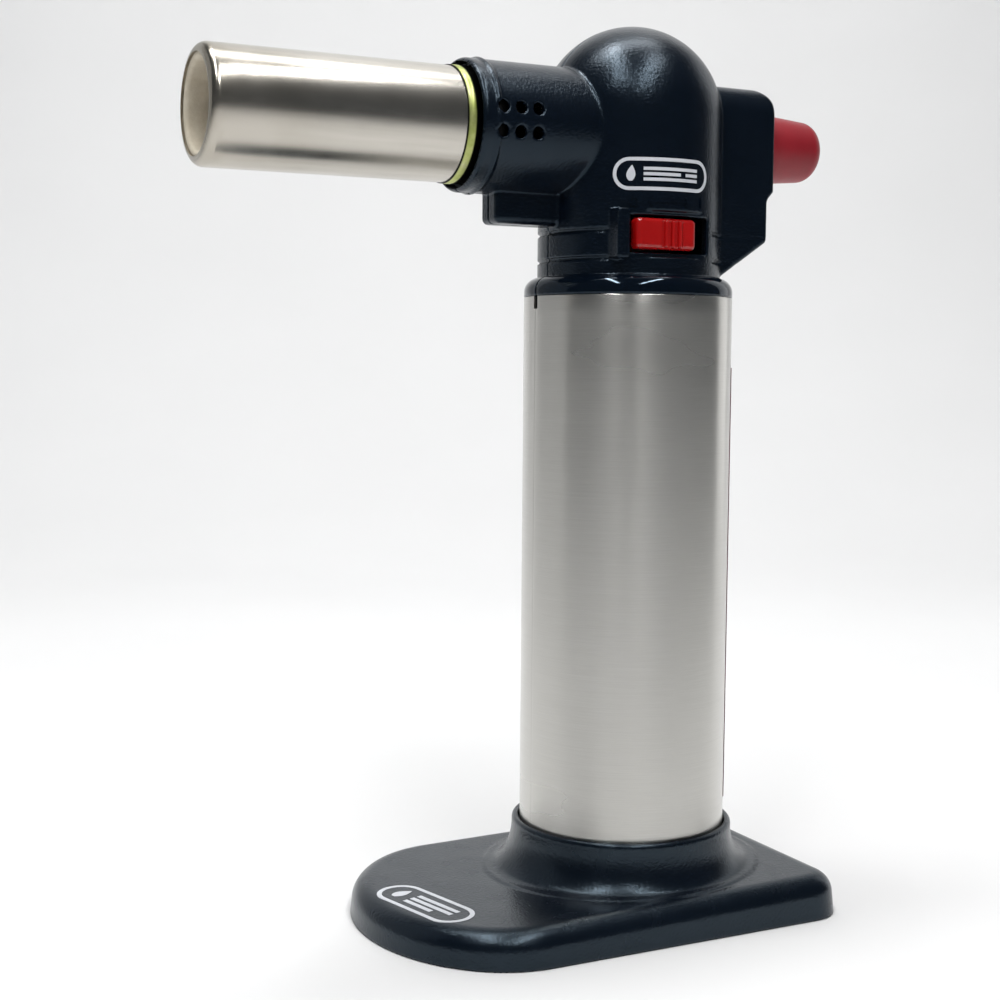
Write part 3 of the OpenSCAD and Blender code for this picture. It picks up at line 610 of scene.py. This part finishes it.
def head_half(side):
    """Field of one shell: side is 1 for the +X half and -1 for the -X half."""
    def field(x, y, z):
        body = cut(head_outside(x, y, z), head_cavity(x, y, z), 0.25)
        for hole_y in HOLES_Y:
            for hole_z in HOLES_Z:
                body = cut(body, np.hypot(y - hole_y, z - hole_z) - HOLE_R, 0.06)
        for screw_y, screw_z, seat, end in SCREWS:
            distance = np.hypot(y - screw_y, z - screw_z)
            body = cut(body, meet(distance - SCREW_BORE, x - end - 0.5))
            body = cut(body, meet(distance - SCREW_SEAT_R, x - seat), 0.25)
        if side > 0:
            slot = brick(x, y, z, (12, *SLOT_LOW), (40, *SLOT_HIGH), 0.3)
            body = cut(body, slot, 0.15)
        else:
            sector = np.abs(y) * math.cos(LEVER_SWING) + x * math.sin(LEVER_SWING)
            level = slab(z, DIAL_Z - LEVER_ROOM, DIAL_Z + LEVER_ROOM)
            lever_slot = meet(meet(level, sector), 10 - np.hypot(x, y))
            body = cut(body, lever_slot, 0.3)
        return meet(body, SPLIT - side * x, 0.22)
    return field


def make_head():
    for side, name in ((1, "shell_right"), (-1, "shell_left")):
        low, high = cad_box("head_" + name)
        if side > 0:
            low[0] = min(low[0], -0.4)
        obj = surface_net(name + "_skin", head_half(side), low, high, HEAD_STEP)
        finish_piece(obj, "torch", "shell_plastic", MATERIALS["shell_plastic"], "head_" + name)


# ---- foot ----
FOOT_HALF = FOOT_HIGH[0]
TOE_Y = FOOT_LOW[1] + 26
HEEL_Y = FOOT_HIGH[1]
LIP_Z = FOOT_HIGH[2]
SOCKET_R = TANK_R + 0.3
LIP_R = SOCKET_R + 1.4
NECK_TOP = LIP_Z - 1.5
PADS = ((22, -36), (-22, -36), (23, 27.5), (-23, 27.5))
FOOT_STEP = 0.5


def plate_top(y):
    """Height of the foot's top face, which rises a little towards the heel."""
    return 8.2 + 0.018 * y


def foot_outline(x, y):
    """Distance to the foot's outline: an elliptical toe and a heel with round corners."""
    toe_len = TOE_Y - FOOT_LOW[1]
    v = np.minimum(y - TOE_Y, 0)
    e = np.sqrt((x / FOOT_HALF) ** 2 + (v / toe_len) ** 2) + 1e-9
    slope = np.sqrt((x / FOOT_HALF ** 2) ** 2 + (v / toe_len ** 2) ** 2) + 1e-9
    toe = e * (e - 1) / slope
    heel = meet(np.abs(x) - FOOT_HALF, y - HEEL_Y, 8)
    return np.where(y < TOE_Y, toe, heel)


def foot_field(x, y, z):
    outline = foot_outline(x, y)
    plate = meet(outline + 0.1 * z, z - plate_top(y), 3.9)
    rho = np.hypot(x, y) + 1e-9
    reach = 1 / np.sqrt((x / rho / (FOOT_HALF - 4.9)) ** 2 + (y / rho / 30) ** 2)
    across = np.maximum(reach - rho, 0) / (reach - LIP_R)
    up = np.maximum(NECK_TOP - z, 0) / (NECK_TOP - plate_top(reach * y / rho))
    neck = meet((1 - np.hypot(across, up)) * (reach - LIP_R), z - LIP_Z, 0.9)
    neck = meet(neck, rho - reach)
    foot = meet(join(plate, neck, 0.8), -z, 0.3)
    foot = cut(foot, meet(rho - SOCKET_R, 3 - z), 0.5)
    hollow = meet(outline + 3, z - 4.2)
    for field in (rho - SOCKET_R - 2, np.abs(x) - 0.8, np.abs(y) - 0.8,
                  *(np.hypot(x - a, y - b) - 5.8 for a, b in PADS)):
        hollow = cut(hollow, field)
    foot = cut(foot, hollow, 0.25)
    for a, b in PADS:
        foot = cut(foot, meet(np.hypot(x - a, y - b) - 4.2, z - 2.2))
    return foot


def make_foot():
    obj = surface_net("foot_skin", foot_field, FOOT_LOW, FOOT_HIGH, FOOT_STEP)
    finish_piece(obj, "stand", "base_plastic", MATERIALS["base_plastic"], "base_shell")


# ---- tank sleeve, burner tube, liner ----
NOTCH_HALF = 0.75
NOTCH_DEPTH = 2.6
SLEEVE_WALL = 0.5
SLEEVE_RIM = 0.15
SEAM_DEPTH = 0.05
SEAM_ANGLE = 0.006


def make_sleeve():
    """Rolled steel sleeve with a butt seam and a small notch under the head's parting line."""
    front = -math.pi / 2
    edge = NOTCH_HALF / TANK_R
    fine = [front + s * d for s in (-1, 1) for d in (0.0, 0.004, 0.008, 0.016, edge, edge + 0.0006, 0.05)]
    coarse = [a for a in round_turn(240) if abs(math.remainder(a - front, 2 * math.pi)) > 0.055]
    angles = sorted(set(math.remainder(a, 2 * math.pi) for a in fine + coarse))
    profile = arc(TANK_R - SLEEVE_RIM, -SLEEVE_RIM, SLEEVE_RIM, 0, 90, 3)
    profile += arc(TANK_R - SLEEVE_WALL + SLEEVE_RIM, -SLEEVE_RIM, SLEEVE_RIM, 90, 180, 3)
    points, faces = [], []
    levels = [SLEEVE_LOW[2], SLEEVE_LOW[2] + 0.6, *np.linspace(SLEEVE_LOW[2] + 8, SLEEVE_TOP - 4, 12)]
    for a in angles:
        off = abs(math.remainder(a - front, 2 * math.pi))
        top = SLEEVE_TOP - (NOTCH_DEPTH if off < edge + 0.0003 else 0)
        seam = -SEAM_DEPTH * math.exp(-(off / SEAM_ANGLE) ** 2)
        outer = [(TANK_R + seam, h) for h in levels]
        rim = [(r + (seam if r > TANK_R - SLEEVE_WALL / 2 else 0), top + h) for r, h in profile]
        inner = [(TANK_R - SLEEVE_WALL, h) for h in reversed(levels)]
        points.append([about_z(r, a, h) for r, h in outer + rim + inner])
    m = len(points[0])
    n = len(angles)
    for i in range(n):
        for k in range(m):
            j, l = (i + 1) % n, (k + 1) % m
            faces.append((i * m + k, j * m + k, j * m + l, i * m + l))
    obj = new_object("sleeve_rolled", [p for column in points for p in column], faces)
    smooth_edges(obj, 40)
    finish_piece(obj, "torch", "sleeve_steel", MATERIALS["sleeve_steel"], "tank_sleeve")


def smooth_edges(obj, degrees):
    """Shades smooth across edges flatter than an angle and sharp across the rest."""
    limit = math.radians(degrees)
    mesh = obj.data
    bm = bmesh.new()
    bm.from_mesh(mesh)
    for edge in bm.edges:
        edge.smooth = len(edge.link_faces) == 2 and edge.calc_face_angle(0) < limit
    bm.to_mesh(mesh)
    bm.free()


def make_tube():
    """Burner tube with its front edge rolled inwards over the ceramic."""
    wall = 0.45
    lip = 1.9
    back, mouth = TUBE_BACK, TUBE_MOUTH
    outer = [(TUBE_R, back - s * (back - mouth - lip)) for s in np.linspace(0, 1, 14)][:-1]
    rolled = [(r, -h) for r, h in arc(TUBE_R - lip, -mouth - lip, lip, 0, 90, 10)]
    inside = [(r, -h) for r, h in arc(TUBE_R - lip, -mouth - lip, lip - wall, 90, 0, 8)]
    inner = [(TUBE_R - wall, mouth + lip + 4), (TUBE_R - wall, back)]
    lip_r = 9.5
    profile = [(TUBE_R - wall + 0.1, back), *outer, *rolled, (lip_r, mouth + 0.08), (lip_r, mouth + wall),
               *inside, *inner]
    obj = lathe("tube_drawn", profile, round_turn(192), about_barrel)
    smooth_edges(obj, 50)
    finish_piece(obj, "torch", "tube_steel", MATERIALS["tube_steel"], "burner_tube")


def make_liner():
    """Ceramic ring inside the mouth, bevelled on its front edge."""
    outer = (LINER_HIGH[2] - LINER_LOW[2]) / 2
    back, front = LINER_HIGH[1], LINER_LOW[1]
    bore = 8.4
    profile = [(bore, back), (outer, back), (outer, front + 1.6), (9.45, front),
               *[(r, -h) for r, h in arc(bore + 0.9, -front - 0.9, 0.9, 90, 180, 6)],
               *[(bore, front + d) for d in (2, 5, 9, 14)]]
    obj = lathe("liner_fired", profile, round_turn(144), about_barrel)
    smooth_edges(obj, 40)
    finish_piece(obj, "torch", "ceramic_cream", MATERIALS["ceramic_cream"], "ceramic_liner")


# ---- button and lock slide ----
def button_field(x, y, z):
    """Domed, slightly tapered cap with its keeper tabs and the leg that pushes the bell crank."""
    start, tip = BUTTON_START, BUTTON_HIGH[1] - 1.4
    bore = np.hypot(x, z - AXIS_Z)
    crown = (bore / 6.5) ** 2 * 0.7
    cap = meet(bore - BUTTON_R + np.maximum(y - start - 9, 0) * 0.085, y - tip + crown, 2.6)
    cap = meet(cap, start - y)
    cap = cut(cap, meet(bore - BUTTON_BORE, y - tip + 3.5))
    tabs = meet(slab(y, start, start + 1.6), bore - BUTTON_R - 1.3)
    tabs = meet(tabs, meet(np.abs(x) - 5, BUTTON_BORE - bore))
    leg = brick(x, y, z, (-2, BUTTON_LOW[1], BUTTON_LEG - 3), (2, start + 1, BUTTON_LEG), 0.3)
    return join(join(cap, tabs, 0.2), cut(leg, meet(bore - BUTTON_BORE, start - y)), 0.2)


def make_button():
    obj = surface_net("button_cap", button_field, BUTTON_LOW, BUTTON_HIGH, 0.3)
    finish_piece(obj, "button", "button_red", MATERIALS["button_red"], "ignition_button")


def slide_field(x, y, z):
    """Lock slide: a smooth thumb pad, three ribs and a flat end on one block."""
    y0, z0, z1 = SLIDE_LOW[1] + 0.8, SLIDE_LOW[2], SLIDE_HIGH[2]
    y1 = SLIDE_HIGH[1]
    face = HEAD_R
    block = brick(x, y, z, (15.7, y0, z0), (face, y1, z1), 1.0)
    hollow = brick(x, y, z, (face - 0.35, y0 + 5.7, z0 + 0.5), (FAR, y1 - 3.2, z1 - 0.5), 0.1)
    block = cut(block, hollow, 0.1)
    for i in range(3):
        rib_y = y0 + 6.3 + 1.6 * i
        rib = brick(x, y, z, (face - 0.6, rib_y, z0 + 0.4), (face + 0.35, rib_y + 0.8, z1 - 0.4), 0.3)
        block = join(block, rib, 0.2)
    neck = brick(x, y, z, (14, y0 + 4, z0 + 1.2), (16.5, y1 - 4, z1 - 1.2), 0.2)
    return join(block, neck, 0.2)


def make_slide():
    obj = surface_net("slide_knob", slide_field, SLIDE_LOW, SLIDE_HIGH, 0.14)
    finish_piece(obj, "lock", "slide_red", MATERIALS["slide_red"], "lock_slide")


# Node, joint, axis (1 is Y, 2 is Z), its fixed end (0 is the low one), how far the other end moves
SPRINGS = (("piezo_spring", "button_press", 1, 0, 4.5),
           ("valve_spring", "valve_lift", 2, 1, 1.75),
           ("fill_valve_spring", "fill_press", 2, 1, 1.2))


def make_springs():
    """Copies of the spring coils, each with a mesh of its own, riding on the torch in place of the CAD nodes;
    the end that stays put is found but not used.
    """
    for name, joint, axis, fixed_end, travel in SPRINGS:
        low, high = cad_box(name)
        anchor = (low + high) / 2
        anchor[axis] = (low, high)[fixed_end][axis]
        obj = bpy.data.objects.new(name + "_coil", NODES[name].data.copy())
        obj.matrix_world = NODES[name].matrix_world
        bpy.context.scene.collection.objects.link(obj)
        finish_piece(obj, "torch", "spring_steel", MATERIALS["spring_steel"], name)
        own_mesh(obj)


# ---- printed and raised marks, all generic ----
def stroke(points, width):
    """Left and right edges of a line of the given width through 2-D points."""
    p = np.array(points, float)
    ahead = np.roll(p, -1, 0)
    behind = np.roll(p, 1, 0)
    if np.hypot(*(p[0] - p[-1])) > 1e-6:
        ahead[-1], behind[0] = p[-1], p[0]
    else:
        ahead[-1], behind[0] = p[1], p[-2]
    along = ahead - behind
    along /= np.hypot(along[:, 0], along[:, 1])[:, None]
    normal = np.stack([-along[:, 1], along[:, 0]], 1) * width / 2
    return p + normal, p - normal


def ribbon(points, faces, left, right, place, low, high):
    """Adds a thin closed solid between two edge lines, laid on a surface by `place`."""
    base = len(points)
    n = len(left)
    for a, b in zip(left, right):
        points.extend([place(*a, high), place(*b, high), place(*b, low), place(*a, low)])
    closed = np.hypot(*(np.array(left[0]) - np.array(left[-1]))) < 1e-6
    for i in range(n - 1):
        for k in range(4):
            one, two = base + 4 * i, base + 4 * (i + 1)
            faces.append((one + k, two + k, two + (k + 1) % 4, one + (k + 1) % 4))
    if not closed:
        faces.append(tuple(base + k for k in range(4)))
        faces.append(tuple(base + 4 * (n - 1) + k for k in (3, 2, 1, 0)))


def marks(name, strips, place, low, high, body, slot, finish):
    """One piece made of strips laid on a surface, from `low` below it to `high` above it."""
    points, faces = [], []
    for left, right in strips:
        ribbon(points, faces, left, right, place, low, high)
    obj = new_object(name, points, faces, smooth=False)
    weld = obj.modifiers.new("Weld", "WELD")
    weld.merge_threshold = 0.000002
    finish_piece(obj, body, slot, finish)


def pill(half_u, half_v, steps=14):
    """Closed stadium line round the middle."""
    line = []
    reach = half_u - half_v
    for s, start in ((1, -90), (-1, 90)):
        line += [(s * reach + half_v * math.cos(math.radians(start + 180 * i / steps)),
                  half_v * math.sin(math.radians(start + 180 * i / steps))) for i in range(steps + 1)]
        line += [(s * reach * (1 - i / steps), s * half_v) for i in range(1, 2 * steps)]
    return line + line[:1]


def drop(u, v, size):
    """Filled flame drop, as left and right edges from its base to its tip."""
    rows = [i / 12 for i in range(13)]
    half = [0.48 * size * math.sin(math.pi * min(t * 0.93 + 0.07, 1)) ** 0.8 * (1 - 0.45 * t) for t in rows]
    lean = [0.12 * size * t * t for t in rows]
    left = [(u + d - h, v + (t - 0.45) * 1.35 * size) for t, h, d in zip(rows, half, lean)]
    right = [(u + d + h, v + (t - 0.45) * 1.35 * size) for t, h, d in zip(rows, half, lean)]
    return left, right


def bar(u0, u1, v, width):
    steps = max(2, int(abs(u1 - u0) / 0.6))
    return stroke([(u0 + (u1 - u0) * i / steps, v) for i in range(steps + 1)], width)


def on_head(u, v, h):
    """Point on the +X side of the head: u is the arc length from the middle, v the height."""
    a = u / HEAD_R
    return ((HEAD_R + h) * math.cos(a), (HEAD_R + h) * math.sin(a), v)


def make_head_marks():
    """Printed pill badge, and raised symbols over the slide: ring, double arrow and bar."""
    u0, v0 = -2.9, AXIS_Z - 9.4
    shift = lambda strip: tuple([(a + u0, b + v0) for a, b in edge] for edge in strip)
    badge = [stroke(pill(10.4, 2.9), 0.7), drop(-7.2, 0, 2.3)]
    badge += [bar(-4.6, 7.6, 1.05, 0.62), bar(-4.6, 3.4, 0.0, 0.62), bar(4.6, 7.6, 0.0, 0.62),
              bar(-4.6, 7.6, -1.05, 0.62)]
    marks("head_badge", [shift(s) for s in badge], on_head, -0.2, 0.05, "torch", None,
          MATERIALS["print_pale"])
    level = SLEEVE_TOP + 18.6
    ring = [(-9.4 + 0.85 * math.cos(t), level + 0.85 * math.sin(t)) for t in np.linspace(0, 2 * math.pi, 25)]
    raised = [stroke(ring, 0.34), bar(-6.4, 2.6, level, 0.34),
              stroke([(6.0, level - 1), (6.0, level + 1)], 0.36)]
    for tip, back in ((-6.4, -5.3), (2.6, 1.5)):
        for s in (-1, 1):
            raised.append(stroke([(back, level + s * 0.8), (tip, level)], 0.32))
    marks("head_symbols", raised, on_head, -0.3, 0.28, "torch", "shell_plastic",
          MATERIALS["shell_plastic"])


def make_foot_badge():
    """Pale generic mark on the toe."""
    turn = math.radians(14)
    middle = (7.0, -49.5)

    def place(u, v, h):
        x = middle[0] + u * math.cos(turn) - v * math.sin(turn)
        y = middle[1] + u * math.sin(turn) + v * math.cos(turn)
        return (x, y, plate_top(y) + h)
    strips = [stroke(pill(12.5, 4.4), 1.0), drop(-8.0, 0, 3.4), bar(-4.2, 8.6, 1.7, 1.1),
              bar(-4.2, 8.6, -0.1, 1.1), bar(-4.2, 4.4, -1.9, 1.1)]
    marks("foot_badge", strips, place, -0.3, 0.05, "stand", None, MATERIALS["print_pale"])


def on_label(u, v, h):
    """Point on the label at the back: u is the arc length from its middle line, v the height."""
    r = LABEL_HIGH[1] + h
    a = math.pi / 2 + u / LABEL_HIGH[1]
    return (r * math.cos(a), r * math.sin(a), v)


def make_label_print():
    """Pale frame, flame drop and plain bars in place of the label's text."""
    half, low, high = LABEL_HIGH[0] - 1.5, LABEL_LOW[2] + 3, LABEL_HIGH[2] - 3
    strips = [bar(-half, half, level, 0.6) for level in (low, high, high - 22)]
    strips += [stroke([(side * half, low + 0.3), (side * half, high - 0.3)], 0.6) for side in (-1, 1)]
    left, right = (np.array(edge) for edge in drop(0, high - 11, 9))
    strips += [(left + (right - left) * i / 8, left + (right - left) * (i + 1) / 8) for i in range(8)]
    for row, length in enumerate((17, 14, 16, 10, 0, 17, 15, 17, 12, 0, 16, 17, 9)):
        if length:
            strips.append(bar(-8.5, -8.5 + length, high - 29 - 4 * row, 1.1))
    marks("label_print", strips, on_label, -0.1, 0.04, "torch", None, MATERIALS["print_pale"])


# ---- camera, light and floor ----
CAMERA_SIDE = -30.9


def make_camera():
    """Camera at the photo's viewing angle: a place round the torch, then a small turn, pitch and roll."""
    distance, height = 0.34235, 0.11463
    azimuth, turn = math.radians(59.097), math.radians(4.481)
    pitch, roll = math.radians(4.728), math.radians(0.430)
    camera = bpy.data.objects.new("camera", bpy.data.cameras.new("camera"))
    bpy.context.scene.collection.objects.link(camera)
    aim = azimuth + turn
    forward = Vector((-math.sin(aim) * math.cos(pitch), math.cos(aim) * math.cos(pitch), -math.sin(pitch)))
    right = forward.cross(Vector((0, 0, 1))).normalized()
    up = right.cross(forward)
    side = right * math.cos(roll) + up * math.sin(roll)
    top = up * math.cos(roll) - right * math.sin(roll)
    camera.matrix_world = Matrix((
        (side.x, top.x, -forward.x, distance * math.sin(azimuth)),
        (side.y, top.y, -forward.y, -distance * math.cos(azimuth)),
        (side.z, top.z, -forward.z, height),
        (0, 0, 0, 1)))
    camera.data.lens = 57.49
    camera.data.sensor_width = 36
    camera.data.clip_start = 0.01
    bpy.context.scene.camera = camera
    return camera


def area_light(name, place, target, size, power, along=(0, 0, 1)):
    """Rectangular light: its first side lies along a direction, as far as its aim allows."""
    light = bpy.data.lights.new(name, "AREA")
    light.shape = "RECTANGLE"
    light.size, light.size_y = size
    light.energy = power
    back = (Vector(place) - Vector(target)).normalized()
    side = Vector(along).cross(back).normalized()
    first = back.cross(side)
    obj = bpy.data.objects.new(name, light)
    obj.matrix_world = Matrix((
        (-first.x, -side.x, back.x, place[0]),
        (-first.y, -side.y, back.y, place[1]),
        (-first.z, -side.z, back.z, place[2]),
        (0, 0, 0, 1)))
    bpy.context.scene.collection.objects.link(obj)


def make_stage():
    """Pale floor that sweeps up into a wall behind the torch, turned to face the camera."""
    g = Graph("sweep_pale")
    g.link(g.ramp(g.noise(3, 3), [(0.3, grey(0.78)), (0.7, grey(0.82))]), g.shader.inputs["Base Color"])
    g.set(Roughness=0.9)
    profile = [(-1.2, 0.0), (0.5, 0.0)]
    profile += [(0.5 + 0.4 * math.sin(t), 0.4 - 0.4 * math.cos(t)) for t in np.linspace(0.1, math.pi / 2, 12)]
    profile.append((0.9, 2.2))
    turn = math.radians(63.6)
    back, side = Vector((-math.sin(turn), math.cos(turn), 0)), Vector((math.cos(turn), math.sin(turn), 0))
    points, faces = [], []
    for u, h in profile:
        for w in (-1.6, 1.6):
            points.append(tuple((back * u + side * w + Vector((0, 0, h))) / MM))
    for i in range(len(profile) - 1):
        faces.append((2 * i, 2 * i + 1, 2 * i + 3, 2 * i + 2))
    floor = new_object("sweep", points, faces)
    floor.data.materials.append(g.material)


def toward(angle, distance, height):
    """Place round the torch: angle in degrees from the camera's side, positive to the picture's left."""
    a = math.radians(CAMERA_SIDE - angle)
    return (distance * math.cos(a), distance * math.sin(a), height)


def make_light():
    """Dim grey room, two strips above the camera, one light overhead, one at each side, one for the wall."""
    world = bpy.data.worlds.new("studio")
    bpy.context.scene.world = world
    world.use_nodes = True
    world.node_tree.nodes["Background"].inputs["Color"].default_value = (0.50, 0.53, 0.56, 1)
    world.node_tree.nodes["Background"].inputs["Strength"].default_value = 0.14
    middle = (0, -0.01, 0.1)
    toward_camera = toward(0, 1, 0)
    area_light("strip_left", (0.12, -0.24, 0.74), (0, 0, 0.17), (0.70, 0.035), 2.8, toward_camera)
    area_light("strip_right", (0.41, 0.03, 0.74), (0, 0, 0.17), (0.70, 0.035), 2.8, toward_camera)
    area_light("overhead", (-0.25, 0.1, 1.1), middle, (0.8, 0.8), 0.9)
    area_light("tall_left", toward(98, 0.8, 0.40), middle, (0.8, 1.0), 0.75)
    area_light("tall_right", toward(-130, 0.8, 0.35), middle, (0.7, 0.35), 0.5)
    area_light("wall_wash", toward(170, 0.2, 1.3), toward(180, 1.1, 0.3), (0.4, 1.2), 10, (1, 0, 0))
    bpy.context.scene.view_settings.view_transform = "Standard"


make_camera()
make_stage()
make_light()
dress_cad_nodes()
make_head()
make_foot()
make_sleeve()
make_tube()
make_liner()
make_button()
make_slide()
make_springs()
make_head_marks()
make_foot_badge()
make_label_print()
